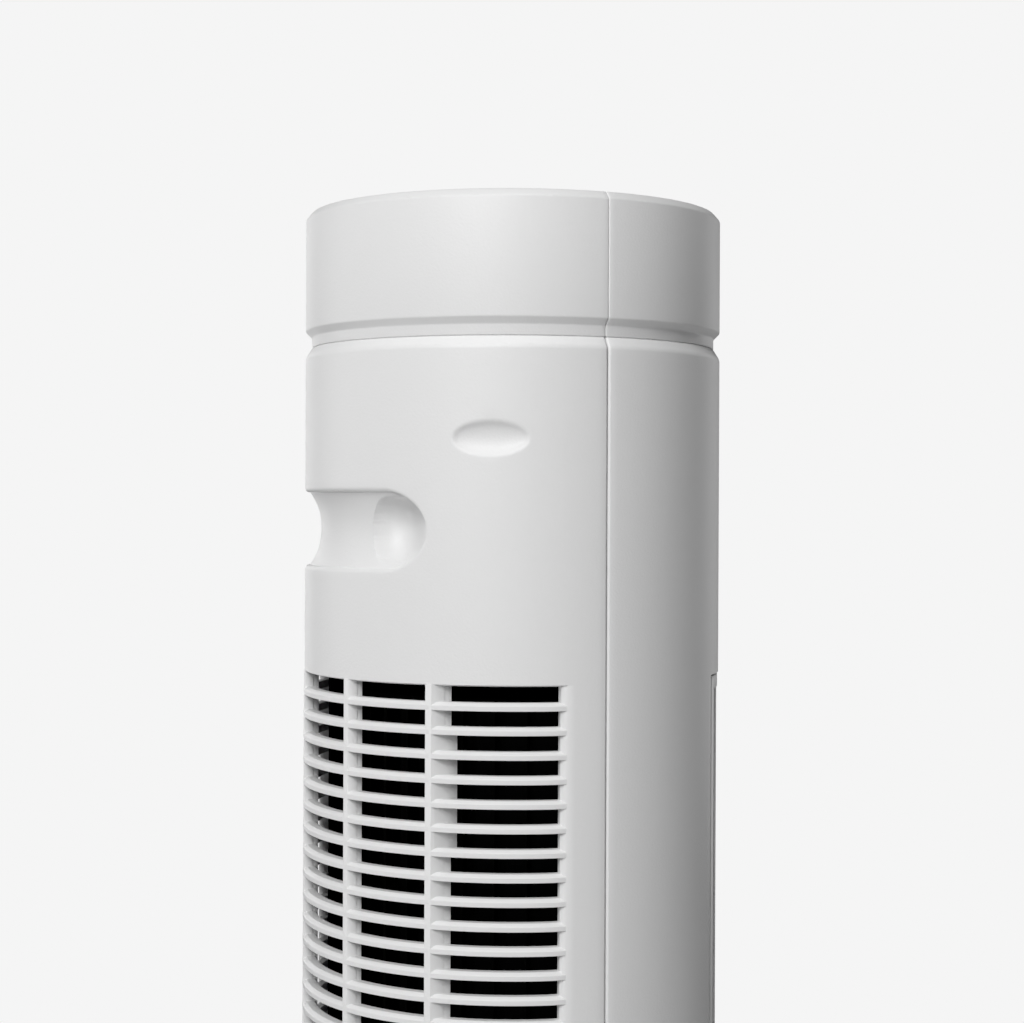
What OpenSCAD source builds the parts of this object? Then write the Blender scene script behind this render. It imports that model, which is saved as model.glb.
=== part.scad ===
// Tower fan with a cross-flow impeller, a swinging column and a round base.
// +Z is up, the origin is the centre of the footprint on the floor, the rear faces +Y.

/* [Whole fan] */
// Height from the floor to the rim of the head
fan_h = 920; // [760:1:1150]
// Diameter of the column
body_d = 160; // [150:1:200]
// Diameter of the base
base_d = 300; // [240:1:380]
// Wall of the moulded shells
wall = 2.4; // [1.8:0.1:3]
// Gap between the front and rear shells
seam_gap = 0.4; // [0.2:0.1:0.8]

/* [Head] */
// Height of the head above its lower edge
head_h = 45.2; // [38:0.2:70]
// Height of the narrow neck under the head
neck_h = 4.1; // [3:0.2:10]
// How far the neck is set in from the column
neck_inset = 2.4; // [2:0.2:6]
// Height of the chamfer under the head
head_low_chamfer = 2.4; // [1:0.1:4]
// Height of the chamfer round the head's top
head_top_chamfer = 2.7; // [1:0.1:4]
// Width of the chamfer round the head's top
head_top_inset = 2.4; // [1:0.1:4]
// Height of the chamfer on the column's shoulder
shoulder_chamfer = 3.8; // [2:0.1:6]
// Width of the rim round the top panel
panel_rim = 3; // [2:0.2:6]
// Thickness of the top panel
panel_t = 2.4; // [2:0.1:4]
// Depth of the top panel below the rim
panel_drop = 1.4; // [1.2:0.1:3]

/* [Intake grille] */
// Distance from the top of the fan to the grille's upper edge
grille_drop = 175.5; // [150:0.5:260]
// Height of one slat and one gap
slat_pitch = 8.61; // [7:0.01:12]
// Height of one slat
slat_h = 2.9; // [2:0.1:4.5]
// Depth of one slat
slat_depth = 4.6; // [3:0.1:6]
// How far the slats stand out past the column
slat_proud = 0.4; // [0.2:0.1:1]
// Half angle of the grille, from the rear centre
grille_half_a = 77.6; // [60:0.1:80]
// Angle of the inner pair of ribs
rib_inner_a = 16.3; // [10:0.1:25]
// Angle of the outer pair of ribs
rib_outer_a = 43.6; // [35:0.1:55]
// Width of a rib's front part, along the column's surface
rib_w = 2.4; // [2:0.1:4]
// Width of a rib's inner part
rib_web_w = 1.6; // [1:0.1:2]
// Depth of a rib's front part
rib_front_depth = 3.3; // [2:0.1:3.5]
// Whole depth of a rib
rib_depth = 6.2; // [5:0.1:8]
// Depth of the stiffened stretch of the outer ribs
stiff_depth = 8; // [6:0.1:9]
// Number of gaps that the stiffened stretch spans
stiff_rows = 5; // [2:1:8]

/* [Front grille] */
// Half angle of the front grille, from the front centre
front_half_a = 44.1; // [35:0.1:50]
// How far the front grille is set in
front_inset = 0.4; // [0.2:0.1:1]
// Gap round the front grille
front_gap = 0.3; // [0.2:0.1:0.6]
// Width of the front grille's border
front_border = 5; // [3:0.5:8]
// Number of upright fins
front_fins = 17; // [9:2:21]
// Width of a fin
fin_w = 1.8; // [1.2:0.1:2.4]
// Depth of a fin
fin_depth = 8; // [5:0.5:10]
// Number of cross ties
front_ties = 7; // [3:1:11]

/* [Hand recess] */
// Distance from the top of the fan to the middle of the recess
recess_drop = 120.8; // [110:0.1:140]
// Half the width of the recess
recess_half_w = 53.1; // [40:0.1:56]
// Height of the recess
recess_h = 27.7; // [24:0.1:32]
// Depth of the waist in the middle
waist_depth = 6.5; // [4:0.1:9]
// Radius of the round pocket at each end
pocket_r = 12; // [9:0.2:13.4]
// How far the pockets' floor lies in from the column
pocket_depth = 25; // [20:0.5:28]
// How far the end walls reach in from the column
ledge_depth = 22; // [19:0.5:24]

/* [Scoops] */
// Distance from the top of the fan to the scoops
scoop_drop = 88; // [70:0.5:96]
// Angle of the scoops from the rear centre
scoop_a = 59.3; // [50:0.1:65]
// Width of a scoop
scoop_w = 25.4; // [18:0.1:30]
// Height of a scoop
scoop_h = 11.6; // [8:0.1:14]
// Depth of a scoop
scoop_depth = 1.6; // [1:0.1:2]

/* [Air system] */
// Gap between the grille's ribs and the impeller
inlet_gap = 13; // [10:0.5:18]
// Radial width of the impeller blades
blade_w = 13; // [9:0.5:16]
// Thickness of a blade
blade_t = 1.2; // [0.8:0.1:1.6]
// Number of blades
blades = 32; // [24:1:40]
// Number of impeller segments
segments = 8; // [5:1:12]
// Thickness of the impeller discs
disc_t = 2.4; // [1.6:0.1:4]
// Running gap between the impeller and the duct walls
duct_gap = 3; // [2:0.5:5]
// Thickness of the duct plates
duct_t = 3; // [2:0.5:5]
// Diameter of the motor and stub shafts
shaft_d = 8; // [6:0.5:10]
// Running clearance of the shafts in their bearings
shaft_fit = 0.05; // [0.01:0.01:0.1]
// Diameter of the fan motor
motor_d = 84; // [70:1:96]
// Height of the fan motor
motor_h = 48; // [36:1:54]

/* [Base and swing] */
// Height of the base
base_h = 40; // [34:1:60]
// Height of the base's straight edge
base_edge_h = 12; // [8:1:20]
// Height of the rubber feet under the base
foot_h = 3; // [2:0.5:6]
// Height of the room for the motors, from the base to the air duct
bay_h = 106; // [104:1:140]
// Gap between the column and the base
swivel_gap = 3; // [2:0.5:6]
// Outer diameter of the spindle
spindle_d = 52; // [44:1:56]
// Clearance of the turntable on the spindle
spindle_fit = 0.08; // [0.03:0.01:0.1]
// Teeth on the fixed gear
gear_teeth = 48; // [36:12:60]
// Teeth on the pinion
pinion_teeth = 12; // [12:1:16]
// Width of the gear's teeth
gear_w = 6; // [4:0.5:7]
// Play between the teeth
backlash = 0.25; // [0.15:0.05:0.5]

/* [Buttons] */
// Diameter of a push button
button_d = 12.8; // [10:0.2:15]
// Distance between the push buttons
button_pitch = 22; // [18:0.5:24]
// Clearance round a push button
button_fit = 0.4; // [0.3:0.05:0.6]
// Travel of a push button
button_travel = 0.8; // [0.5:0.1:1.2]

/* [Hidden] */
$fn = 96;
body_r = body_d / 2;
base_r = base_d / 2;
shell_ri = body_r - wall;
clear = 0.3;
big = 4 * body_r;

// levels, from the floor up
column_z0 = base_h + swivel_gap;
duct_z0 = base_h + bay_h;
inlet_top = fan_h - grille_drop;
rows = floor((inlet_top - duct_z0 - duct_t - 1) / slat_pitch);
inlet_bottom = inlet_top - rows * slat_pitch + slat_h;
duct_z1 = inlet_top + 1;
head_z = fan_h - head_h;
neck_r = body_r - neck_inset;
joint_z = head_z - head_low_chamfer - neck_h;
shoulder_z = joint_z - shoulder_chamfer;
panel_z1 = fan_h - panel_drop;
panel_z0 = panel_z1 - panel_t;
panel_r = body_r - head_top_inset - panel_rim;
recess_z = fan_h - recess_drop;
recess_end_r = recess_h / 2;
recess_end_x = recess_half_w - recess_end_r;
pocket_y = body_r - pocket_depth + pocket_r;
scoop_z = fan_h - scoop_drop;

// swing drive, worked out from the room inside the column
flange_t = 3;
glide_t = 3.4;
rim_w = 8;
rim_ro = shell_ri - 11.6;
rim_ri = rim_ro - rim_w;
rim_gap = 2.5;
gear_module = (rim_ri - rim_gap) / (gear_teeth / 2 + pinion_teeth + 1);
gear_r = gear_module * gear_teeth / 2;
pinion_r = gear_module * pinion_teeth / 2;
pinion_y = -(gear_r + pinion_r);
gear_z = base_h + flange_t;
turntable_z = gear_z + gear_w + 1;
turntable_t = 4;
turntable_top = turntable_z + turntable_t;
hub_h = 10;
spindle_r = spindle_d / 2;
spindle_wall = 6;
spindle_top = turntable_z + hub_h + clear;
ring_t = 2.7;
bolt_r = spindle_r + 10;
bolt_angles = [90, 210, 330];
ring_screw_r = spindle_r - spindle_wall / 2;
pilot_r = 1.3;
screw_ring_r = shell_ri - 6.6;
screw_angles = [30, 90, 150, 210, 270, 330];
swing_can_r = 14;
swing_can_h = 19;
hub_r = -pinion_y - swing_can_r - 0.6;
swing_shaft_r = 2.5;
swing_lugs = [-17.5, 17.5];

// air system
duct_colour = [0.16, 0.16, 0.17];
impeller_r = body_r - rib_depth - inlet_gap;
blade_ri = impeller_r - blade_w;
impeller_z0 = duct_z0 + duct_t + 8;
impeller_z1 = duct_z1 - 7;
segment_h = (impeller_z1 - impeller_z0 - disc_t) / segments;
shaft_r = shaft_d / 2;
hub_d = 24;
motor_r = motor_d / 2;
motor_z1 = duct_z0 - 14;
motor_z0 = motor_z1 - motor_h;
motor_wall = 6;
rotor_gap = 1.5;
lug_r = motor_r + 6;
bush_r = 9;
mount_r = 15;
bush_h = 8;
duct_h = duct_z1 - duct_z0 - duct_t;
duct_post_r = impeller_r + 7.5;
duct_post_angles = [-30, 180];

// base
floor_z = foot_h;
plate_t = 3;
cover_t = 2.6;
top_flat_r = body_r + 4;
weight_z0 = floor_z + plate_t;
weight_t = 8;
foot_ring_r = base_r - 20;
gland_r = 5.4;
cord_hole_r = 3.6;
gland_flange_r = gland_r + 1;
gland_z = weight_z0 + gland_flange_r + 0.2;
gland_l = 10;
post_inset = 12;

// head
board_t = 1.6;
board_z = panel_z0 - 11.2;
switch_h = 3.6;
button_r = button_d / 2;
button_y = -22;
lens_half_a = 20;
lens_z0 = head_z + 11;
lens_h = 20;
lens_gap = 0.15;
display_y = -(shell_ri - 11.6);
head_screw_r = neck_r - 10.4;
post_x = 2.5 * button_pitch;
post_places = [for (x = [-post_x, post_x], y = [button_y - 10, button_y + 10]) [x, y]];

// ---------- shared shapes ----------

// A ring or disc standing on z.
module ring(ro, ri, z, h) {
    translate([0, 0, z]) difference() {
        cylinder(r = ro, h = h);
        if (ri > 0) translate([0, 0, -1]) cylinder(r = ri, h = h + 2);
    }
}

// A section turned about Z, centred on an angle.
module sector(mid_a, half_a) {
    rotate([0, 0, mid_a - half_a]) rotate_extrude(angle = 2 * half_a, $fn = 180) children();
}

// A round bar standing on z at a polar place.
module polar_bar(a, r, z, bar_r, h) {
    rotate([0, 0, a]) translate([r, 0, z]) cylinder(r = bar_r, h = h, $fn = 32);
}

// A cross-head screw with its head up at z and its shank going down.
module screw(shank_r, length, head_r, head_h) {
    slot = head_r * 1.1;
    difference() {
        union() {
            cylinder(r = head_r, h = head_h, $fn = 32);
            translate([0, 0, -length]) cylinder(r = shank_r, h = length + 0.1, $fn = 24);
        }
        for (a = [0, 90])
            rotate([0, 0, a]) translate([0, 0, head_h]) cube([slot, 0.7, head_h], center = true);
    }
}

// The half of space behind or in front of the seam.
module half_space(side) {
    translate([-big / 2, side > 0 ? seam_gap / 2 : -big - seam_gap / 2, -1]) cube([big, big, fan_h + 2]);
}

// A shell boss for an upright screw, tied to the wall by a web.
module wall_boss(a, r, z, h, hole_r) {
    rotate([0, 0, a]) difference() {
        union() {
            translate([r, 0, z]) cylinder(r = 4, h = h, $fn = 32);
            translate([r, -1.2, z]) cube([shell_ri - r + wall / 2, 2.4, h]);
        }
        translate([r, 0, z - 1]) cylinder(r = hole_r, h = h + 2, $fn = 24);
    }
}

// Involute tooth form: half the angle of a tooth at radius r.
function involute(r, rb) = r <= rb ? 0 : sqrt(r * r / (rb * rb) - 1) * 180 / PI - acos(rb / r);
function half_tooth(r, rp, n) =
    90 / n - backlash / 4 / rp * 180 / PI + involute(rp, rp * cos(20)) - involute(r, rp * cos(20));
function tooth_radii(rp) = [for (k = [0 : 4]) rp - gear_module + k * 1.75 * gear_module / 4];
function tooth_points(rp, n, i) = concat(
    [for (k = [0 : 4]) let (r = tooth_radii(rp)[k], a = i * 360 / n - half_tooth(r, rp, n))
        [r * cos(a), r * sin(a)]],
    [for (k = [4 : -1 : 0]) let (r = tooth_radii(rp)[k], a = i * 360 / n + half_tooth(r, rp, n))
        [r * cos(a), r * sin(a)]]);

module gear(rp, n, h, bore_r, turn) {
    linear_extrude(height = h) difference() {
        rotate([0, 0, turn]) polygon([for (i = [0 : n - 1]) each tooth_points(rp, n, i)]);
        circle(r = bore_r);
    }
}

// ---------- base ----------

function dome_z(a, rise) = floor_z + base_edge_h + rise * pow(sin(a), 1.35);

module base_cover() {
    rise = base_h - base_edge_h - floor_z;
    run = base_r - top_flat_r;
    // the dome leaves the straight edge in a soft shoulder and lands level on the flat top
    dome = [for (a = [0 : 6 : 90]) [top_flat_r + run * cos(a), dome_z(a, rise)]];
    inner = [for (a = [90 : -6 : 0]) [top_flat_r + (run - cover_t) * cos(a), dome_z(a, rise - cover_t)]];
    post_top = dome_z(acos((base_r - post_inset - top_flat_r) / run), rise) - cover_t / 2;
    color("whitesmoke") difference() {
        union() {
            rotate_extrude($fn = 180) polygon(concat([[base_r, floor_z]], dome,
                [[20, base_h], [20, base_h - cover_t]], inner, [[base_r - cover_t, floor_z]]));
            for (a = [0 : 60 : 300])
                polar_bar(a, base_r - post_inset, weight_z0, 5, post_top - weight_z0);
        }
        for (a = bolt_angles)
            polar_bar(a, bolt_r, 0, 1.8, base_h + 1);
        for (a = [0 : 60 : 300])
            polar_bar(a, base_r - post_inset, 0, pilot_r, weight_z0 + 11);
        translate([0, base_r + 10, gland_z]) rotate([90, 0, 0]) cylinder(r = gland_r, h = 30, $fn = 48);
        translate([0, base_r - cover_t - 0.4, gland_z]) rotate([90, 0, 0])
            cylinder(r = gland_flange_r + 0.1, h = 10, $fn = 48);
    }
}

module base_plate() {
    color("dimgray") difference() {
        ring(base_r - cover_t - clear, 0, floor_z, plate_t);
        for (a = [0 : 60 : 300])
            polar_bar(a, base_r - post_inset, 0, 1.8, weight_z0 + 1);
        for (a = [30 : 60 : 330])
            polar_bar(a, foot_ring_r, floor_z - 1, 8, 2);
    }
}

module counterweight() {
    color("gray") ring(base_r - 34, spindle_r + 34, weight_z0, weight_t);
}

module foot_pads() {
    color("black") for (a = [30 : 60 : 330])
        rotate([0, 0, a]) translate([foot_ring_r, 0, 0]) {
            cylinder(r1 = 7, r2 = 7.8, h = floor_z, $fn = 48);
            translate([0, 0, floor_z]) cylinder(r = 7.8, h = 1, $fn = 48);
        }
}

module base_screws() {
    color("silver") for (a = [0 : 60 : 300])
        rotate([0, 0, a]) translate([base_r - post_inset, 0, floor_z]) rotate([180, 0, 0])
            screw(pilot_r, 12, 3, 1.8);
}

module cord_gland() {
    color("dimgray") translate([0, base_r - 0.4, gland_z]) rotate([90, 0, 0]) difference() {
        union() {
            cylinder(r = gland_r, h = gland_l, $fn = 48);
            translate([0, 0, cover_t]) cylinder(r = gland_flange_r, h = 2, $fn = 48);
        }
        translate([0, 0, -1]) cylinder(r = cord_hole_r, h = gland_l + 2, $fn = 48);
    }
}

module spindle() {
    color("lightgray") difference() {
        union() {
            ring(spindle_r + 20, 0, base_h, flange_t);
            ring(spindle_r, 0, base_h, spindle_top - base_h);
        }
        ring(spindle_r - spindle_wall, 0, base_h - 1, spindle_top);
        for (a = bolt_angles) {
            polar_bar(a, bolt_r, 0, pilot_r, gear_z + 1);
            polar_bar(a + 30, ring_screw_r, spindle_top - 9, pilot_r, 10);
        }
    }
}

module spindle_screws() {
    color("silver") for (a = bolt_angles)
        rotate([0, 0, a]) translate([bolt_r, 0, base_h - cover_t])
            rotate([180, 0, 0]) screw(pilot_r, cover_t + flange_t - 0.4, 3, 1.8);
}

module swing_gear() {
    color("ivory") difference() {
        translate([0, 0, gear_z]) gear(gear_r, gear_teeth, gear_w, spindle_r, 0);
        for (a = bolt_angles)
            polar_bar(a, bolt_r, gear_z - 1, 3, 3);
    }
}

module glide_ring() {
    color("ivory") ring(rim_ro, rim_ri, base_h, glide_t);
}

module retaining_ring() {
    color("silver") difference() {
        ring(hub_r, spindle_r - spindle_wall, spindle_top, ring_t);
        for (a = [120, 240, 360])
            polar_bar(a, ring_screw_r, 0, 1.6, fan_h);
    }
}

module ring_screws() {
    color("silver") for (a = [120, 240, 360])
        rotate([0, 0, a]) translate([ring_screw_r, 0, spindle_top + ring_t])
            screw(pilot_r, 10, 2.6, 1.6);
}

// ---------- swinging column, lower end ----------

module turntable() {
    color("lightgray") difference() {
        union() {
            ring(shell_ri - clear, spindle_r + spindle_fit, turntable_z, turntable_t);
            ring(hub_r, spindle_r + spindle_fit, turntable_z, hub_h);
            ring(rim_ro, rim_ri, base_h + glide_t + clear, turntable_z - base_h - glide_t);
        }
        for (a = screw_angles)
            polar_bar(a, screw_ring_r, 0, 1.8, turntable_top + 1);
        translate([0, pinion_y, 0]) cylinder(r = swing_shaft_r + 1, h = turntable_top + 1, $fn = 32);
        for (x = swing_lugs)
            translate([x, pinion_y, 0]) cylinder(r = pilot_r, h = turntable_top + 1, $fn = 24);
    }
}

module turntable_screws() {
    color("silver") for (a = screw_angles)
        rotate([0, 0, a]) translate([screw_ring_r, 0, turntable_z]) rotate([180, 0, 0])
            screw(pilot_r, turntable_t + 10, 2.8, 1.6);
}

module swing_motor() {
    color("silver") translate([0, pinion_y, turntable_top]) difference() {
        union() {
            cylinder(r = swing_can_r, h = swing_can_h, $fn = 64);
            translate([-17.5, -3.5, 0]) cube([35, 7, 1]);
            for (x = swing_lugs)
                translate([x, 0, 0]) cylinder(r = 3.5, h = 1, $fn = 32);
            translate([-7.3, -swing_can_r - 2.5, 1]) cube([14.6, 6, swing_can_h - 2]);
        }
        translate([0, 0, -1]) cylinder(r = swing_shaft_r + shaft_fit, h = 9, $fn = 32);
        for (x = swing_lugs)
            translate([x, 0, -1]) cylinder(r = 1.6, h = 3, $fn = 24);
    }
}

module swing_motor_screws() {
    color("silver") for (x = swing_lugs)
        translate([x, pinion_y, turntable_top + 1]) screw(pilot_r, 4.5, 2.6, 1.6);
}

// ---------- shells ----------

// The wall of the column: straight, with a chamfered foot and shoulder.
module column_wall() {
    rotate_extrude($fn = 180) polygon([
        [shell_ri, column_z0], [body_r - 1, column_z0], [body_r, column_z0 + 1],
        [body_r, shoulder_z], [neck_r, joint_z], [neck_r - wall, joint_z], [shell_ri, shoulder_z]]);
}

// A capsule across the rear, cut straight through along Y.
module capsule(grow, y0) {
    translate([0, y0, recess_z]) rotate([-90, 0, 0]) linear_extrude(height = big) {
        for (x = [-recess_end_x, recess_end_x])
            translate([x, 0]) circle(r = recess_end_r + grow, $fn = 72);
        translate([-recess_end_x, -recess_end_r - grow])
            square([2 * recess_end_x, 2 * (recess_end_r + grow)]);
    }
}

// A shallow oval cutter: a barrel whose side bulges into the wall.
module scoop_cutter() {
    arc_r = (scoop_h * scoop_h / 4 + scoop_depth * scoop_depth) / 2 / scoop_depth;
    barrel_r = 1 / (8 * scoop_depth / scoop_w / scoop_w - 1 / body_r);
    translate([body_r + barrel_r - scoop_depth, 0, scoop_z]) rotate_extrude($fn = 180)
        intersection() {
            translate([barrel_r - arc_r, 0]) circle(r = arc_r, $fn = 96);
            translate([barrel_r - 3 * scoop_depth, -arc_r]) square([3 * scoop_depth, 2 * arc_r]);
        }
}

module rear_shell() {
    color("white") difference() {
        union() {
            intersection() {
                column_wall();
                half_space(1);
            }
            // thicker wall behind each scoop
            for (a = [90 - scoop_a, 90 + scoop_a])
                rotate([0, 0, a]) translate([shell_ri - 1.6, 0, scoop_z]) rotate([0, 90, 0])
                    cylinder(r = scoop_w / 2 + 2, h = 2.4, $fn = 64);
            for (a = [30, 90, 150])
                wall_boss(a, screw_ring_r, turntable_top, 14, pilot_r);
            for (a = [40, 140])
                wall_boss(a, head_screw_r, joint_z - 14, 14, pilot_r);
        }
        // opening for the slats
        sector(90, grille_half_a) translate([shell_ri - 4, inlet_bottom])
            square([wall + 10, inlet_top - inlet_bottom]);
        capsule(0, 0);
        for (a = [90 - scoop_a, 90 + scoop_a])
            rotate([0, 0, a]) scoop_cutter();
    }
}

// One part of a rib's plan, along the pull direction, between two depths.
module rib_plan(a, width, depth0, depth1) {
    w = width * cos(a);
    intersection() {
        difference() {
            circle(r = body_r - depth0, $fn = 180);
            circle(r = body_r - depth1, $fn = 180);
        }
        translate([body_r * sin(a) - w / 2, 0]) square([w, big]);
    }
}

module rear_grille() {
    r1 = body_r + slat_proud;
    r0 = r1 - slat_depth;
    color("white") union() {
        for (k = [1 : rows - 1])
            translate([0, 0, inlet_top - k * slat_pitch]) sector(90, grille_half_a)
                translate([r0, 0]) square([slat_depth, slat_h]);
        // ribs: a wide front and a narrow web
        translate([0, 0, inlet_bottom]) linear_extrude(height = inlet_top - inlet_bottom)
            for (a = [-rib_outer_a, -rib_inner_a, rib_inner_a, rib_outer_a]) {
                rib_plan(a, rib_w, 0, rib_front_depth);
                rib_plan(a, rib_web_w, 1, rib_depth);
            }
        // the outer ribs are stiffened from the third gap down
        translate([0, 0, inlet_top - (2 + stiff_rows) * slat_pitch + slat_h / 2])
            linear_extrude(height = stiff_rows * slat_pitch)
                for (a = [-rib_outer_a, rib_outer_a])
                    rib_plan(a, rib_w - 0.2, 1, stiff_depth);
    }
}

// A hollow with a waist in its middle and a round-bottomed pocket at each end.
module recess_hollow() {
    arc_r = (waist_depth * waist_depth + recess_end_r * recess_end_r) / 2 / waist_depth;
    waist_a = asin(recess_end_x / body_r) + 2;
    difference() {
        capsule(0, body_r - ledge_depth);
        translate([0, 0, recess_z]) sector(90, waist_a) difference() {
            translate([20, -recess_h]) square([body_r - 20, 2 * recess_h]);
            translate([body_r - waist_depth + arc_r, 0]) circle(r = arc_r, $fn = 144);
        }
    }
    for (x = [-recess_end_x, recess_end_x])
        translate([x, pocket_y, recess_z]) rotate([-90, 0, 0]) {
            sphere(r = pocket_r, $fn = 72);
            cylinder(r = pocket_r, h = body_r, $fn = 72);
        }
}

module hand_recess() {
    back = body_r - pocket_depth - wall;
    hollow_a = asin((recess_end_x - pocket_r - wall) / shell_ri);
    color("white") difference() {
        intersection() {
            translate([0, 0, recess_z - recess_end_r - wall])
                cylinder(r = shell_ri, h = recess_h + 2 * wall, $fn = 180);
            capsule(wall, back);
        }
        recess_hollow();
        // open behind the waist
        translate([0, 0, recess_z]) sector(90, hollow_a) translate([20, -recess_end_r])
            square([body_r - waist_depth - wall - 20, recess_h]);
    }
}

module front_shell() {
    color("white") difference() {
        union() {
            intersection() {
                column_wall();
                half_space(-1);
            }
            for (a = [210, 270, 330])
                wall_boss(a, screw_ring_r, turntable_top, 14, pilot_r);
            for (a = [220, 320])
                wall_boss(a, head_screw_r, joint_z - 14, 14, pilot_r);
        }
        sector(270, front_half_a) translate([shell_ri - 4, inlet_bottom])
            square([wall + 10, inlet_top - inlet_bottom]);
    }
}

module front_grille() {
    r1 = body_r - front_inset;
    edge_a = front_gap / r1 * 180 / PI;
    border_a = front_border / r1 * 180 / PI;
    z0 = inlet_bottom + front_gap;
    z1 = inlet_top - front_gap;
    span = z1 - z0;
    fin_a = 2 * (front_half_a - border_a) / (front_fins + 1);
    tie = (span - 2 * front_border) / (front_ties + 1);
    color("white") union() {
        // border
        difference() {
            sector(270, front_half_a - edge_a) translate([r1 - wall, z0]) square([wall, span]);
            sector(270, front_half_a - edge_a - border_a) translate([r1 - 2 * wall, z0 + front_border])
                square([3 * wall, span - 2 * front_border]);
        }
        for (k = [1 : front_ties])
            sector(270, front_half_a - edge_a - border_a / 2)
                translate([r1 - wall - 2, z0 + front_border + k * tie]) square([wall + 0.6, 2.4]);
        translate([0, 0, z0 + 1]) linear_extrude(height = span - 2)
            for (k = [1 : front_fins])
                rotate([0, 0, 180 - front_half_a + border_a + k * fin_a]) intersection() {
                    difference() {
                        circle(r = r1 - 0.3, $fn = 180);
                        circle(r = r1 - fin_depth, $fn = 180);
                    }
                    translate([-fin_w / 2, 0]) square([fin_w, big]);
                }
    }
}

// ---------- air duct ----------

module duct_bottom_plate() {
    color(duct_colour) difference() {
        ring(shell_ri - clear, hub_d / 2 + 4, duct_z0, duct_t);
        for (a = [45 : 90 : 315])
            polar_bar(a, lug_r, duct_z0 - 1, 2.2, duct_t + 2);
        for (a = duct_post_angles)
            polar_bar(a, duct_post_r, duct_z0 - 1, 1.6, duct_t + 2);
    }
}

module duct_top_plate() {
    color(duct_colour) difference() {
        union() {
            ring(shell_ri - clear, mount_r, duct_z1, duct_t);
            ring(mount_r + 3, mount_r, duct_z1, bush_h);
        }
        for (a = duct_post_angles)
            polar_bar(a, duct_post_r, duct_z1 - 1, 1.6, duct_t + 2);
    }
}

// A curved wall that opens away from the impeller towards the outlet.
function spiral(a, a0, a1, gap0, gap1) = impeller_r + gap0 + (gap1 - gap0) * pow((a - a0) / (a1 - a0), 1.5);
module scroll_wall() {
    a0 = 176;
    a1 = 270 - front_half_a - 4;
    out = shell_ri - impeller_r - 2.8;
    color(duct_colour) translate([0, 0, duct_z0 + duct_t]) linear_extrude(height = duct_h)
        union() {
            polygon(concat(
                [for (a = [a0 : (a1 - a0) / 10 : a1 + 0.1]) let (r = spiral(a, a0, a1, duct_gap, out))
                    [r * cos(a), r * sin(a)]],
                [for (a = [a1 : (a0 - a1) / 10 : a0 - 0.1]) let (r = spiral(a, a0, a1, duct_gap, out) + 2)
                    [r * cos(a), r * sin(a)]]));
            // screw post at the wall's tight end
            rotate([0, 0, 180]) translate([duct_post_r, 0]) difference() {
                circle(r = 3.6, $fn = 32);
                circle(r = pilot_r, $fn = 24);
            }
        }
}

module cutoff_tongue() {
    tip = impeller_r + duct_gap;
    out = shell_ri - 0.6;
    a0 = 270 + front_half_a + 4;
    color(duct_colour) translate([0, 0, duct_z0 + duct_t]) linear_extrude(height = duct_h)
        union() {
            polygon(concat(
                [for (a = [a0, a0 + 1.8]) [out * cos(a), out * sin(a)]],
                [for (a = [a0 + 9 : 9 : a0 + 45]) [(tip + 2) * cos(a), (tip + 2) * sin(a)]],
                [for (a = [a0 + 45 : -9 : a0 + 9]) [tip * cos(a), tip * sin(a)]]));
            rotate([0, 0, -30]) translate([duct_post_r, 0]) difference() {
                circle(r = 3.6, $fn = 32);
                circle(r = pilot_r, $fn = 24);
            }
        }
}

module duct_screws() {
    color("silver") for (a = duct_post_angles)
        rotate([0, 0, a]) translate([duct_post_r, 0, 0]) {
            translate([0, 0, duct_z1 + duct_t]) screw(pilot_r, 12, 2.8, 1.6);
            translate([0, 0, duct_z0]) rotate([180, 0, 0]) screw(pilot_r, 12, 2.8, 1.6);
        }
}

module fan_motor() {
    bore = shaft_r + shaft_fit;
    cavity = motor_r - motor_wall;
    color("silver") difference() {
        union() {
            translate([0, 0, motor_z0]) rotate_extrude($fn = 144) difference() {
                polygon([[bore, 0], [motor_r - 3, 0], [motor_r, 3], [motor_r, motor_h - 3],
                    [motor_r - 3, motor_h], [14, motor_h], [13, motor_h + 4], [bore, motor_h + 4]]);
                translate([0, motor_wall]) square([cavity, motor_h - 2 * motor_wall]);
            }
            for (a = [45 : 90 : 315])
                rotate([0, 0, a]) translate([motor_r - 4, -5, motor_z1 - 9])
                    cube([lug_r - motor_r + 9, 10, 3]);
        }
        for (a = [45 : 90 : 315])
            polar_bar(a, lug_r, motor_z1 - 12, 2.2, 9);
        // slots in the motor's side let air through to the windings
        for (a = [0 : 30 : 330])
            rotate([0, 0, a]) translate([motor_r - 3, -1.5, motor_z0 + 14]) cube([6, 3, motor_h - 28]);
    }
}

module motor_isolators() {
    color("dimgray") for (a = [45 : 90 : 315])
        rotate([0, 0, a]) translate([lug_r, 0, 0]) ring(5.5, 2, motor_z1 - 6, duct_z0 - motor_z1 + 6);
}

module motor_screws() {
    color("silver") for (a = [45 : 90 : 315])
        rotate([0, 0, a]) translate([lug_r, 0, duct_z0 + duct_t]) screw(1.8, 26.5, 3.6, 2);
}

module power_board() {
    y = shell_ri - 21;
    z = turntable_top + 17;
    color("darkgreen") union() {
        translate([-36, y, z]) cube([72, board_t, 62]);
        translate([-28, y + board_t, z + 6]) cube([16, 11, 18]);
        translate([8, y + board_t, z + 8]) cube([19, 9, 15]);
        for (x = [-26, -12, 2])
            translate([x, y + board_t, z + 42]) rotate([-90, 0, 0]) cylinder(r = 4, h = 9, $fn = 32);
    }
}

module run_capacitor() {
    color("black") translate([motor_r + 4, -19, motor_z0 + 4]) cube([15, 38, 27]);
}

module bearing_mount() {
    color("dimgray") ring(mount_r, bush_r, duct_z1, bush_h);
}

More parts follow.
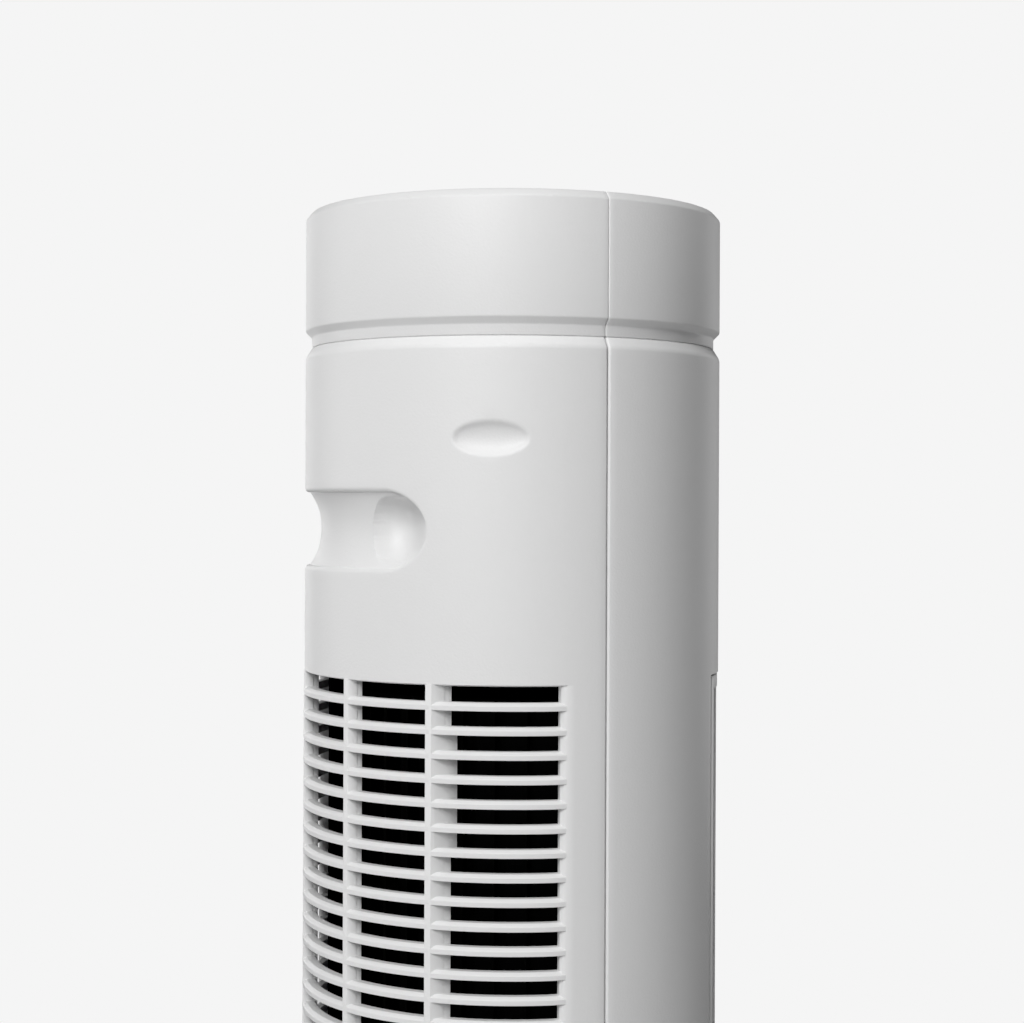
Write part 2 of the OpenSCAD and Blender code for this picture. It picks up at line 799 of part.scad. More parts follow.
module bearing_bush() {
    color("goldenrod") ring(bush_r, shaft_r + shaft_fit, duct_z1, bush_h);
}

// ---------- impeller ----------

// One blade: a thin crescent that leans forward from its inner to its outer edge.
function blade_point(u, side) = let (
    r = blade_ri + 1 + u * (blade_w - 2),
    a = 14 * u - 9 * u * (1 - u),
    t = blade_t * (0.35 + 2.6 * u * (1 - u)) / r * 90 / PI)
    [r * cos(a + side * t), r * sin(a + side * t)];

module impeller() {
    steps = [for (k = [0 : 3]) k / 3];
    color(duct_colour) union() {
        translate([0, 0, impeller_z0 + disc_t / 2]) linear_extrude(height = segments * segment_h)
            for (i = [0 : blades - 1])
                rotate([0, 0, i * 360 / blades]) polygon(concat(
                    [for (u = steps) blade_point(u, 1)],
                    [for (k = [len(steps) - 1 : -1 : 0]) blade_point(steps[k], -1)]));
        for (k = [0 : segments])
            ring(impeller_r, k == 0 ? hub_d / 2 : k == segments ? shaft_r : blade_ri - 3,
                impeller_z0 + k * segment_h, disc_t);
        ring(12, shaft_r, impeller_z1 - disc_t, disc_t + 2);
    }
}

module motor_shaft() {
    color("silver") translate([0, 0, motor_z0 - 4])
        cylinder(r = shaft_r, h = impeller_z0 + 10 - motor_z0, $fn = 64);
}

module motor_rotor() {
    color("gray") ring(motor_r - motor_wall - 8, shaft_r, motor_z0 + motor_wall + rotor_gap,
        motor_h - 2 * motor_wall - 2 * rotor_gap);
}

module drive_hub() {
    color("silver") difference() {
        ring(hub_d / 2, shaft_r, impeller_z0 - 6, 12);
        translate([0, 0, impeller_z0 - 3]) rotate([0, 90, 0]) cylinder(r = 2, h = hub_d, $fn = 32);
    }
}

module set_screw() {
    color("black") translate([shaft_r, 0, impeller_z0 - 3]) rotate([0, 90, 0]) difference() {
        cylinder(r = 2, h = 7.5, $fn = 32);
        translate([0, 0, 5]) cylinder(r = 1, h = 5, $fn = 6);
    }
}

module stub_shaft() {
    color("silver") translate([0, 0, impeller_z1 - 20])
        cylinder(r = shaft_r, h = duct_z1 + bush_h + 2 - impeller_z1 + 20, $fn = 64);
}

module swing_pinion() {
    color("ivory") translate([0, pinion_y, gear_z + 0.5])
        gear(pinion_r, pinion_teeth, gear_w - 0.3, swing_shaft_r, 180 / pinion_teeth);
}

module swing_shaft() {
    color("silver") translate([0, pinion_y, gear_z + 0.5])
        cylinder(r = swing_shaft_r, h = turntable_top + 6 - gear_z, $fn = 32);
}

// ---------- head ----------

module head_wall() {
    rotate_extrude($fn = 180) polygon([
        [neck_r - wall, joint_z], [neck_r, joint_z], [neck_r, joint_z + neck_h], [body_r, head_z],
        [body_r, fan_h - head_top_chamfer], [body_r - head_top_inset, fan_h], [panel_r, fan_h],
        [panel_r, panel_z0], [panel_r - 3.6, panel_z0], [panel_r - 3.6, panel_z0 - wall],
        [shell_ri, panel_z0 - wall], [shell_ri, head_z + wall], [neck_r - wall, joint_z + neck_h + wall]]);
}

module head_half(side) {
    intersection() {
        head_wall();
        translate([-big / 2, side > 0 ? 0.05 : -big - 0.05, -1]) cube([big, big, fan_h + 2]);
    }
}

module head_floor() {
    color("lightgray") difference() {
        ring(neck_r - wall - clear, 20, joint_z, 2.4);
        for (a = [40, 140, 220, 320])
            polar_bar(a, head_screw_r, joint_z - 1, 1.6, 5);
    }
}

module head_screws() {
    color("silver") for (a = [40, 140, 220, 320])
        rotate([0, 0, a]) translate([head_screw_r, 0, joint_z + 2.4]) screw(pilot_r, 12, 2.8, 1.6);
}

module head_rear_shell() {
    color("white") head_half(1);
}

module head_front_shell() {
    color("white") difference() {
        head_half(-1);
        sector(270, lens_half_a) translate([shell_ri - 2, lens_z0]) square([wall + 10, lens_h]);
    }
}

function button_x(i) = (i - 2) * button_pitch;

module top_panel() {
    color("gainsboro") difference() {
        union() {
            ring(panel_r - lens_gap, 0, panel_z0, panel_t);
            for (p = post_places)
                translate([p[0], p[1], board_z + board_t])
                    cylinder(r = 3, h = panel_z0 - board_z - board_t + 0.5, $fn = 32);
        }
        for (i = [0 : 4])
            translate([button_x(i), button_y, panel_z0 - 1])
                cylinder(r = button_r + button_fit, h = panel_t + 2, $fn = 64);
        for (p = post_places)
            translate([p[0], p[1], board_z]) cylinder(r = 1.1, h = panel_z0 - board_z, $fn = 24);
    }
}

module display_lens() {
    gap_a = lens_gap / body_r * 180 / PI;
    color([0.1, 0.1, 0.12]) sector(270, lens_half_a - gap_a) translate([shell_ri, lens_z0 + lens_gap])
        square([wall - 0.2, lens_h - 2 * lens_gap]);
}

module display_board() {
    color("darkgreen") union() {
        translate([-26, display_y, lens_z0 - 2]) cube([52, board_t, lens_h + 4]);
        translate([-20, display_y - 5, lens_z0 + 4]) cube([34, 5.1, 12]);
    }
}

module infrared_receiver() {
    color("black") translate([19.4, display_y, lens_z0 + 10]) rotate([90, 0, 0]) {
        cylinder(r = 2.4, h = 4, $fn = 32);
        translate([-2.8, -3.4, 0]) cube([5.6, 6.8, 2.2]);
    }
}

module control_board() {
    color("darkgreen") difference() {
        translate([-post_x - 4, button_y - 15, board_z]) cube([2 * post_x + 8, 30, board_t]);
        for (p = post_places)
            translate([p[0], p[1], board_z - 1]) cylinder(r = 1.5, h = 4, $fn = 24);
    }
}

module board_screws() {
    color("silver") for (p = post_places)
        translate([p[0], p[1], board_z]) rotate([180, 0, 0]) screw(1.1, 7, 2.2, 1.4);
}

module tact_switches() {
    color("silver") for (i = [0 : 4])
        translate([button_x(i), button_y, board_z + board_t]) {
            translate([-3, -3, 0]) cube([6, 6, 2.2]);
            cylinder(r = 1.7, h = switch_h, $fn = 32);
        }
}

// A push button: cap, flange that stops under the panel, and a stem over its switch.
module button(i) {
    flange_top = panel_z0 - 0.5;
    stem_z = board_z + board_t + switch_h + button_travel + clear;
    color("lightgray") translate([button_x(i), button_y, 0]) rotate_extrude($fn = 72) polygon([
        [0, stem_z], [2, stem_z], [2, flange_top - 1.4], [button_r + 1.6, flange_top - 1.4],
        [button_r + 1.6, flange_top], [button_r, flange_top], [button_r, fan_h - 0.6],
        [button_r - 0.5, fan_h - 0.1], [0, fan_h - 0.1]]);
}

module power_button() { button(0); }
module speed_button() { button(1); }
module timer_button() { button(2); }
module swing_button() { button(3); }
module mode_button() { button(4); }

base_cover();
base_plate();
counterweight();
foot_pads();
base_screws();
cord_gland();
spindle();
spindle_screws();
swing_gear();
glide_ring();
retaining_ring();
ring_screws();
turntable();
turntable_screws();
swing_motor();
swing_motor_screws();
rear_shell();
rear_grille();
hand_recess();
front_shell();
front_grille();
duct_bottom_plate();
duct_top_plate();
scroll_wall();
cutoff_tongue();
duct_screws();
fan_motor();
motor_isolators();
motor_screws();
power_board();
run_capacitor();
bearing_mount();
bearing_bush();
head_floor();
head_screws();
head_rear_shell();
head_front_shell();
top_panel();
display_lens();
display_board();
infrared_receiver();
control_board();
board_screws();
tact_switches();
impeller();
motor_shaft();
motor_rotor();
drive_hub();
set_screw();
stub_shaft();
swing_pinion();
swing_shaft();
power_button();
speed_button();
timer_button();
swing_button();
mode_button();
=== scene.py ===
"""Looks of a white tower fan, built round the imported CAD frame. All lengths are in metres."""
import math

import bmesh
import bpy
from mathutils import Matrix, Vector


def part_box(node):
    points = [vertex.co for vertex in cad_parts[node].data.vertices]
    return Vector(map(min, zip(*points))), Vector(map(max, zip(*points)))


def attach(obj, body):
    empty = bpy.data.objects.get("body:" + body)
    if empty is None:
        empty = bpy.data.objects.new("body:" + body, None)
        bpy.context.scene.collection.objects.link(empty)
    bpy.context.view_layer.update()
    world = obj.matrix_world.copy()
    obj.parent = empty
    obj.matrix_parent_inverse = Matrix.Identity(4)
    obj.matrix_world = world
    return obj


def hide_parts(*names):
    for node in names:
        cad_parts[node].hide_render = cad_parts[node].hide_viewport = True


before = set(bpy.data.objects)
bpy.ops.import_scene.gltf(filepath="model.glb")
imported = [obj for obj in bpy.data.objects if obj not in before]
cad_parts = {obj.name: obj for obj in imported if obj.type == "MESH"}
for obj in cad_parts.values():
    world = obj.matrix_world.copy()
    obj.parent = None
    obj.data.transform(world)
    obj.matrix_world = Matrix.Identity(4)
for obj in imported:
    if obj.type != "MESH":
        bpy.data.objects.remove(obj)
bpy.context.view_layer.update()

mm = 0.001
REAR = 90
FRONT = 270

# ---------- sizes taken from the frame ----------

shell_low, shell_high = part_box("rear_shell")
grille_low, grille_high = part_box("rear_grille")
outlet_low, outlet_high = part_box("front_grille")
recess_low, recess_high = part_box("hand_recess")
lens_low, lens_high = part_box("display_lens")
head_low, head_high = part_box("head_rear_shell")
cover_low, cover_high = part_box("base_cover")
panel_low, panel_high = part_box("top_panel")

body_r = head_high.y
seam = shell_low.y
inlet_low, inlet_high = grille_low.z, grille_high.z
recess_z = (recess_low.z + recess_high.z) / 2

# ---------- sizes of the mouldings ----------

wall = 2.4 * mm
skin_t = 1.2 * mm
skin_return = 3 * mm
edge_r = 0.9 * mm
foot_chamfer = 1 * mm
shoulder_soft = 1 * mm
shoulder_r = 0.5 * mm
fine_row = 0.25 * mm

frame_steps = [0, 0.5 * mm, 0.6 * mm, 0.8 * mm, 2.1 * mm]
frame_drops = [1.55 * mm, 1.3 * mm, 1.2 * mm, 0.85 * mm, 0]
lintel_share = 0.24
seam_steps = [0, 0.06 * mm, 0.24 * mm, 0.5 * mm, edge_r]

inlet_half_a = 77.6
slat_pitch = 8.61 * mm
slat_h = 2.9 * mm
slat_depth = 4.6 * mm
slat_front = [(0.15 * mm, 0), (0, 0.15 * mm), (0, 1.7 * mm), (0.45 * mm, 2.2 * mm),
              (0.6 * mm, 2.25 * mm), (1.5 * mm, slat_h)]
slat_overrun = 2.1 * mm
slat_fade = 5 * mm
slat_sink = 1.1
rib_angles = (-43.6, -16.3, 16.3, 43.6)
rib_front_w = 2.4 * mm
rib_front_depth = 3.3 * mm
rib_web_w = 1.6 * mm
rib_depth = 5.4 * mm
rib_overrun = 0.5 * mm
web_set_back = 1 * mm
stiff_depth = 6.6 * mm
stiff_extra_w = 0.04 * mm
stiff_rows = 5
stiff_beyond_a = 30
# The dark sheet inside the far side of the grille, painted shade.
shade_sheet_depth = 7.2 * mm
shade_sheet_t = 0.8 * mm
shade_sheet_overrun = 4 * mm
shade_sheet_end_a = 36.5

recess_half_w = 53.1 * mm
recess_end_r = 13.85 * mm
recess_end_x = recess_half_w - recess_end_r
recess_half_a = 48
recess_half_h = 20 * mm
lip_r = 1.8 * mm
lip_lines = (0.8, 0.6, 0.4, 0.22, 0.08, 0)
crease = 0.35 * mm
waist_r = 73.5 * mm
waist_arc = 23.2 * mm
pocket_r = 12 * mm
pocket_rim_y = 67 * mm
pocket_floor_y = 55.3 * mm
pocket_widening = 0.7
pocket_power = 2.4
pocket_blend = 0.5 * mm
pocket_spacing = 0.48 * mm

scoop_a = 59.3
scoop_z = head_high.z - 88 * mm
scoop_rim = (13.85 * mm, 6.95 * mm)
scoop_dish = (12.7 * mm, 5.25 * mm)
scoop_rim_drop = 0.75 * mm
scoop_dish_drop = 2.3 * mm
scoop_dish_share = 0.9
scoop_dish_brim = 0.316
scoop_rim_power = 1.6
scoop_rows_h = 7 * mm

neck_inset = 2.4 * mm
shoulder_h = 3.8 * mm
neck_h = 4.1 * mm
head_foot_h = 2.4 * mm
head_top_h = 2.7 * mm
head_top_inset = 2.4 * mm
panel_rim = 3 * mm
head_gap = 0.05 * mm
head_edge_r = 0.45 * mm
inside_step = 1 * mm

cap_dish = 0.5 * mm
cap_edge_r = 0.6 * mm
cap_flange = 1.6 * mm
flange_depth = 2.9 * mm
flange_t = 1.4 * mm
stem_r = 2 * mm
dish_lines = 10
icon_t = 0.12 * mm
icon_sink = 0.02 * mm
window_depth = 1 * mm
window_proud = 0.15 * mm

outlet_half_a = 44.1
outlet_border = 5 * mm
outlet_fins = 17
fin_w = 1.8 * mm
fin_depth = 8 * mm
fin_set_back = 0.3 * mm
fin_end_gap = 1 * mm
outlet_gap = 0.3 * mm
outlet_ties = 7
tie_h = 2.4 * mm
tie_set_back = 1.4 * mm
tie_tail = 2 * mm
cross_bite_a = 0.5

base_edge_h = 12 * mm
base_collar = 4 * mm
base_wall_r = 2 * mm
base_wall_h = 2.4 * mm
base_hole_r = 20 * mm
dome_power = 1.35


# ---------- finishes ----------

def finish(name, colour, roughness, metallic=0.0, grain=0.5 * mm, relief=0.03 * mm, mottle=0.03,
           streak=(1, 1, 1), **shader_values):
    """A finish with a fine grain, a faint mottle in its colour and an uneven gloss."""
    material = bpy.data.materials.new(name)
    material.use_nodes = True
    nodes = material.node_tree.nodes
    links = material.node_tree.links
    shader = nodes["Principled BSDF"]
    shader.inputs["Metallic"].default_value = metallic
    for socket, value in shader_values.items():
        shader.inputs[socket.replace("_", " ")].default_value = value

    place = nodes.new("ShaderNodeTexCoord")
    stretch = nodes.new("ShaderNodeMapping")
    stretch.inputs["Scale"].default_value = streak
    links.new(place.outputs["Object"], stretch.inputs["Vector"])

    fine = nodes.new("ShaderNodeTexNoise")
    fine.inputs["Scale"].default_value = 1 / grain
    fine.inputs["Detail"].default_value = 2
    links.new(stretch.outputs["Vector"], fine.inputs["Vector"])
    bump = nodes.new("ShaderNodeBump")
    bump.inputs["Distance"].default_value = relief
    bump.inputs["Strength"].default_value = 1
    links.new(fine.outputs["Fac"], bump.inputs["Height"])
    links.new(bump.outputs["Normal"], shader.inputs["Normal"])

    broad = nodes.new("ShaderNodeTexNoise")
    broad.inputs["Scale"].default_value = 1 / (40 * grain)
    links.new(stretch.outputs["Vector"], broad.inputs["Vector"])
    tint = nodes.new("ShaderNodeValToRGB")
    tint.color_ramp.elements[0].color = [c * (1 - mottle) for c in colour] + [1]
    tint.color_ramp.elements[1].color = [min(1, c * (1 + mottle)) for c in colour] + [1]
    links.new(broad.outputs["Fac"], tint.inputs["Fac"])
    links.new(tint.outputs["Color"], shader.inputs["Base Color"])
    gloss = nodes.new("ShaderNodeMapRange")
    gloss.inputs["To Min"].default_value = roughness * 0.92
    gloss.inputs["To Max"].default_value = min(1, roughness * 1.08)
    links.new(fine.outputs["Fac"], gloss.inputs["Value"])
    links.new(gloss.outputs["Result"], shader.inputs["Roughness"])
    return material


white_abs = finish("white_abs", (0.80, 0.80, 0.80), 0.5, mottle=0.01, grain=0.9 * mm, relief=0.06 * mm)
base_white = finish("base_white", (0.80, 0.80, 0.79), 0.45, mottle=0.01, relief=0.02 * mm)
panel_white = finish("panel_white", (0.72, 0.72, 0.72), 0.38, mottle=0.01, relief=0.015 * mm)
button_grey = finish("button_grey", (0.50, 0.51, 0.52), 0.42, relief=0.015 * mm)
inner_grey = finish("inner_grey", (0.42, 0.42, 0.43), 0.55)
plate_dark = finish("plate_dark", (0.09, 0.09, 0.095), 0.6, relief=0.04 * mm)
# Painted shade: the duct parts and the impeller are near-black with no specular, so the unlit inside of the
# column renders black.
duct_black = finish("duct_black", (0.002, 0.002, 0.002), 0.9, Specular_IOR_Level=0.0)
impeller_black = finish("impeller_black", (0.0025, 0.0025, 0.0025), 0.9, Specular_IOR_Level=0.0)
gear_ivory = finish("gear_ivory", (0.72, 0.68, 0.55), 0.4)
rubber_black = finish("rubber_black", (0.018, 0.018, 0.018), 0.85, grain=0.8 * mm, relief=0.06 * mm)
screw_steel = finish("screw_steel", (0.52, 0.52, 0.50), 0.3, 1.0, grain=0.3 * mm, relief=0.01 * mm)
shaft_steel = finish("shaft_steel", (0.60, 0.60, 0.60), 0.2, 1.0, relief=0.005 * mm, streak=(1, 1, 12))
cast_iron = finish("cast_iron", (0.12, 0.115, 0.11), 0.75, 0.6, grain=1.2 * mm, relief=0.15 * mm, mottle=0.2)
motor_alloy = finish("motor_alloy", (0.45, 0.45, 0.46), 0.42, 1.0, grain=0.7 * mm, relief=0.05 * mm)
bush_bronze = finish("bush_bronze", (0.48, 0.30, 0.12), 0.35, 1.0, grain=0.3 * mm, mottle=0.1)
board_green = finish("board_green", (0.02, 0.11, 0.05), 0.4, grain=1.5 * mm, mottle=0.15)
capacitor_black = finish("capacitor_black", (0.02, 0.02, 0.022), 0.35)
lens_smoke = finish("lens_smoke", (0.012, 0.012, 0.014), 0.08, grain=3 * mm, relief=0.002 * mm,
                    Coat_Weight=0.4)

CARRIED_OVER = {
    plate_dark: ("base_plate", "cord_gland", "motor_isolators"),
    cast_iron: ("counterweight",),
    rubber_black: ("foot_pads", "infrared_receiver"),
    screw_steel: ("base_screws", "spindle_screws", "ring_screws", "turntable_screws",
                  "swing_motor_screws", "duct_screws", "motor_screws", "head_screws", "board_screws",
                  "retaining_ring", "set_screw", "tact_switches"),
    shaft_steel: ("motor_shaft", "stub_shaft", "swing_shaft"),
    inner_grey: ("spindle", "turntable", "head_floor", "bearing_mount"),
    gear_ivory: ("swing_gear", "glide_ring", "swing_pinion"),
    motor_alloy: ("fan_motor", "swing_motor", "motor_rotor", "drive_hub"),
    bush_bronze: ("bearing_bush",),
    board_green: ("power_board", "display_board", "control_board"),
    capacitor_black: ("run_capacitor",),
    # The duct parts and the impeller take the painted-shade black, which darkens the inside of the column.
    duct_black: ("duct_bottom_plate", "duct_top_plate", "scroll_wall", "cutoff_tongue"),
    impeller_black: ("impeller",),
    panel_white: ("top_panel",),
}
for material, names in CARRIED_OVER.items():
    for name in names:
        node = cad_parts[name]
        node.data.materials.clear()
        node.data.materials.append(material)


# ---------- shop tools ----------

def polar(radius, angle, height):
    """A point at a radius, an angle and a height."""
    a = math.radians(angle)
    return Vector((radius * math.cos(a), radius * math.sin(a), height))


def angle_from(point, middle):
    """The angle of a point about Z, from a middle angle, in degrees."""
    a = math.degrees(math.atan2(point.y, point.x)) - middle
    return (a + 180) % 360 - 180


def scale_out(v, share):
    """Moves a vertex towards the column's axis or away from it, by a share of its radius."""
    v.co.x *= share
    v.co.y *= share


def fresh_verts(geom):
    """The vertices in what an operator gives back."""
    return [g for g in geom if isinstance(g, bmesh.types.BMVert)]


def band(r0, r1, z0, z1):
    """The outline of a plain band, between two radii and two heights."""
    return [(r0, z0), (r1, z0), (r1, z1), (r0, z1)]


def section(bm, points, angle, closed=True):
    """The outline of a turned piece, given as (radius, height), standing at an angle about Z."""
    verts = [bm.verts.new(polar(r, angle, z)) for r, z in points]
    edges = [bm.edges.new(pair) for pair in zip(verts, verts[1:])]
    if closed:
        edges.append(bm.edges.new((verts[-1], verts[0])))
    return verts + edges


def turn(bm, geom, sweep, steps):
    """Turns an outline about the column's axis, and gives back its last standing."""
    return bmesh.ops.spin(bm, geom=geom, cent=(0, 0, 0), axis=(0, 0, 1), angle=math.radians(sweep),
                          steps=steps, use_merge=sweep == 360, use_duplicate=False)["geom_last"]


def turned_solid(bm, points, start=0, sweep=360, steps=180):
    """A solid turned from an outline, with its ends closed if it doesn't go all the way round."""
    geom = section(bm, points, start)
    if sweep < 360:
        geom.append(bm.faces.new(fresh_verts(geom)))
    turn(bm, geom, sweep, steps)


def turned_skin(bm, heights, stops):
    """A thin barrel of the column's radius, with a line at each height and at each stop round it."""
    last = section(bm, [(body_r, z) for z in heights], stops[0], closed=False)
    for a0, a1 in zip(stops, stops[1:]):
        last = turn(bm, last, a1 - a0, 1)
    bmesh.ops.reverse_faces(bm, faces=bm.faces)


def spread(*runs):
    """Numbers from the first run's start to the last run's end, with each run (end, spacing) cut evenly."""
    out = [runs[0]]
    for end, spacing in runs[1:]:
        start = out[-1]
        count = max(1, round(abs(end - start) / spacing))
        out += [start + (end - start) * k / count for k in range(1, count + 1)]
    return out


def soften(bm, radius, sharper_than, segments):
    """Rounds the edges that turn by more than an angle."""
    bm.normal_update()
    limit = math.radians(sharper_than)
    edges = [e for e in bm.edges if e.is_manifold and e.calc_face_angle(0) > limit]
    bmesh.ops.bevel(bm, geom=edges, offset=radius, affect="EDGES", segments=segments, profile=0.5,
                    material=-1, clamp_overlap=True)


def piece(name, bm, body, material, nodes, smooth):
    """Makes a finished piece from a bmesh, riding on a body and standing for its CAD nodes."""
    mesh = bpy.data.meshes.new(name)
    bm.to_mesh(mesh)
    bm.free()
    mesh.shade_smooth()
    mesh.set_sharp_from_angle(angle=math.radians(smooth))
    mesh.materials.append(material)
    made = bpy.data.objects.new(name, mesh)
    bpy.context.scene.collection.objects.link(made)
    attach(made, body)
    if nodes:
        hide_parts(*nodes)


def arc_drop(distance, radius):
    """How far a rounded edge has fallen, at a distance from where it ends."""
    reach = min(max(radius - distance, 0), radius)
    return radius - math.sqrt(radius * radius - reach * reach)


# ---------- column shells ----------

def degrees_of(length):
    """The angle that a length takes on the column's surface."""
    return math.degrees(length / body_r)


def frame_drop(s):
    """The stepped chamfer round an opening, at a distance from its edge."""
    for s0, s1, d0, d1 in zip(frame_steps, frame_steps[1:], frame_drops, frame_drops[1:]):
        if s <= s1:
            return d0 + (d1 - d0) * max(0, s - s0) / (s1 - s0)
    return 0


def scoop_drop(v, middle):
    """The oval finger scoop: a rounded rim, then a dish."""
    across = math.radians(abs(angle_from(v.co, middle)) - scoop_a) * body_r
    up = v.co.z - scoop_z
    rim = math.hypot(across / scoop_rim[0], up / scoop_rim[1])
    dish = math.hypot(across / scoop_dish[0], up / scoop_dish[1])
    if rim >= 1:
        return 0
    if dish < 1:
        bowl = math.sqrt(1 - dish * dish * scoop_dish_share)
        return scoop_rim_drop + scoop_dish_drop * bowl - scoop_dish_drop * scoop_dish_brim
    never_zero = 1e-9
    share = (1 - rim) / (1 - rim + dish - 1 + never_zero)
    return scoop_rim_drop * share ** scoop_rim_power


def column_heights(*runs):
    """The levels of a column shell: its softened foot, its opening's frame and its softened shoulder."""
    foot = [shell_low.z + s for s in (0, 0.3 * mm, foot_chamfer)]
    frame_low = [inlet_low - s * lintel_share for s in reversed(frame_steps)]
    frame_high = [inlet_high + s * lintel_share for s in frame_steps]
    shoulder = shell_high.z - shoulder_h
    return (spread(foot[0], (foot[1], 1), (foot[2], 1), (frame_low[0], 8 * mm))
            + frame_low[1:] + spread(inlet_low, (inlet_high, 12 * mm))[1:] + frame_high[1:]
            + spread(frame_high[-1], *runs, (shoulder - shoulder_soft, 4 * mm), (shoulder, fine_row),
                     (shoulder + shoulder_soft, fine_row), (shell_high.z - shoulder_r, 2 * mm),
                     (shell_high.z, fine_row))[1:])


def column_radius(z):
    """The column's radius at a height, with its foot and shoulder."""
    shoulder = shell_high.z - shoulder_h
    slope = neck_inset / shoulder_h
    rise = z - shoulder
    if rise > shoulder_soft:
        inset = rise * slope
    else:
        inset = slope * max(0, rise + shoulder_soft) ** 2 / (4 * shoulder_soft)
    foot = foot_chamfer - (z - shell_low.z)
    return body_r - inset - max(0, foot) - arc_drop(shell_high.z - z, shoulder_r)


def open_window(bm, middle, half_a):
    """Takes the faces of an opening out of a column skin."""
    inside = [f for f in bm.faces
              if inlet_low < f.calc_center_median().z < inlet_high
              and abs(angle_from(f.calc_center_median(), middle)) < half_a]
    bmesh.ops.delete(bm, geom=inside, context="FACES")


def turn_in(bm):
    """Carries the edges of a skin in towards the column's axis."""
    edges = [e for e in bm.edges if e.is_boundary]
    for v in fresh_verts(bmesh.ops.extrude_edge_only(bm, edges=edges)["geom"]):
        scale_out(v, 1 - skin_return / v.co.xy.length)


def shape_skin(bm, middle, half_a, with_scoops):
    """Draws a column skin in at its foot, shoulder, seams, opening and scoops."""
    for v in bm.verts:
        a = abs(angle_from(v.co, middle))
        radius = column_radius(v.co.z)
        to_seam = math.radians(90 - a) * body_r - abs(seam)
        radius -= arc_drop(to_seam, edge_r)
        beside = math.radians(a - half_a) * body_r
        above = max(v.co.z - inlet_high, inlet_low - v.co.z) / lintel_share
        radius -= frame_drop(max(beside, above, 0))
        if with_scoops:
            radius -= scoop_drop(v, middle)
        scale_out(v, radius / v.co.xy.length)


def saddle_y(x, up):
    """The waist across the recess, a hollow turned about the column's axis."""
    radius = waist_r + waist_arc - math.sqrt(max(0, waist_arc ** 2 - up * up))
    return math.sqrt(max(0, radius * radius - x * x))


def lower_of(a, b, soft):
    """The lower of two heights, blended where they cross."""
    near = max(soft - abs(a - b), 0) / soft
    return min(a, b) - near * near * soft / 4


def recess_depth_y(x, up, d):
    """How far out the recess's surface lies, d inside its outline."""
    lip = math.sqrt(body_r ** 2 - x * x) - arc_drop(-d, lip_r)
    if d <= 0:
        return lip
    out = abs(x) - recess_end_x
    r = math.hypot(out, up)
    widen = min(1, max(0, out / (pocket_widening * recess_end_r)))
    reach = pocket_r + (recess_end_r - pocket_r) * widen
    waist = min(lip - crease, saddle_y(x, up))
    if r >= reach:
        return waist
    rim = min(pocket_rim_y, lip - crease)
    bowl = rim - (rim - pocket_floor_y) * (1 - (r / reach) ** pocket_power) ** (1 / pocket_power)
    return lower_of(waist, bowl, pocket_blend)


def sink_recess(bm):
    """Fills the hole left for the hand recess, ring by ring, from its edge to its middle line."""
    def in_hole(f):
        return (abs(f.calc_center_median().z - recess_z) < recess_half_h
                and abs(angle_from(f.calc_center_median(), REAR)) < recess_half_a)
    bmesh.ops.delete(bm, geom=[f for f in bm.faces if in_hole(f)], context="FACES")

    def on_rim(v):
        return (abs(v.co.z - recess_z) < recess_half_h + 0.1 * mm
                and abs(angle_from(v.co, REAR)) < recess_half_a + 0.1)
    ring = [e for e in bm.edges if e.is_boundary and all(on_rim(v) for v in e.verts)]
    aim = {}
    for v in dict.fromkeys(v for e in ring for v in e.verts):
        middle = Vector((min(max(v.co.x, -recess_end_x), recess_end_x), 0))
        reach = Vector((v.co.x, v.co.z - recess_z)) - middle
        aim[v] = (middle, reach.normalized(), reach.length)

    lip_start = recess_end_r + lip_r
    rings = [("out", 0.5), ("out", 1.0)]
    rings += [("in", -lip_r * s) for s in lip_lines]
    rings += [("in", d) for d in spread(0.03 * mm, (0.3 * mm, 1), (recess_end_r, pocket_spacing))]
    for kind, amount in rings:
        made = bmesh.ops.extrude_edge_only(bm, edges=ring)["geom"]
        parents = {}
        for v in fresh_verts(made):
            for e in v.link_edges:
                other = e.other_vert(v)
                if other in aim:
                    parents[v] = other
        for v, parent in parents.items():
            middle, toward, start = aim[parent]
            radius = start + (lip_start - start) * amount if kind == "out" else recess_end_r - amount
            d = recess_end_r - radius
            flat = middle + toward * radius
            v.co = (flat.x, recess_depth_y(flat.x, flat.y, d), recess_z + flat.y)
        aim = {v: aim[parent] for v, parent in parents.items()}
        ring = [g for g in made if isinstance(g, bmesh.types.BMEdge) and all(v in aim for v in g.verts)]
    bmesh.ops.remove_doubles(bm, verts=list(aim), dist=0.05 * mm)


def sharpened_stops(middle, *runs):
    """Angles round half of the column, from one seam to the other, the same both ways from the middle."""
    seam_a = 90 - degrees_of(abs(seam))
    side = spread(0, *runs, (seam_a - degrees_of(edge_r), 2))
    side += [seam_a - degrees_of(s) for s in reversed(seam_steps[:-1])]
    return [middle - a for a in reversed(side[1:])] + [middle + a for a in side]


def frame_stops(half_a):
    """Runs that put a line on each step of an opening's frame."""
    return [(half_a, 2)] + [(half_a + degrees_of(s), 9) for s in frame_steps[1:]]


def close_skin(bm):
    """Gives a skin its thickness on the inner side."""
    bmesh.ops.solidify(bm, geom=bm.faces[:], thickness=skin_t)


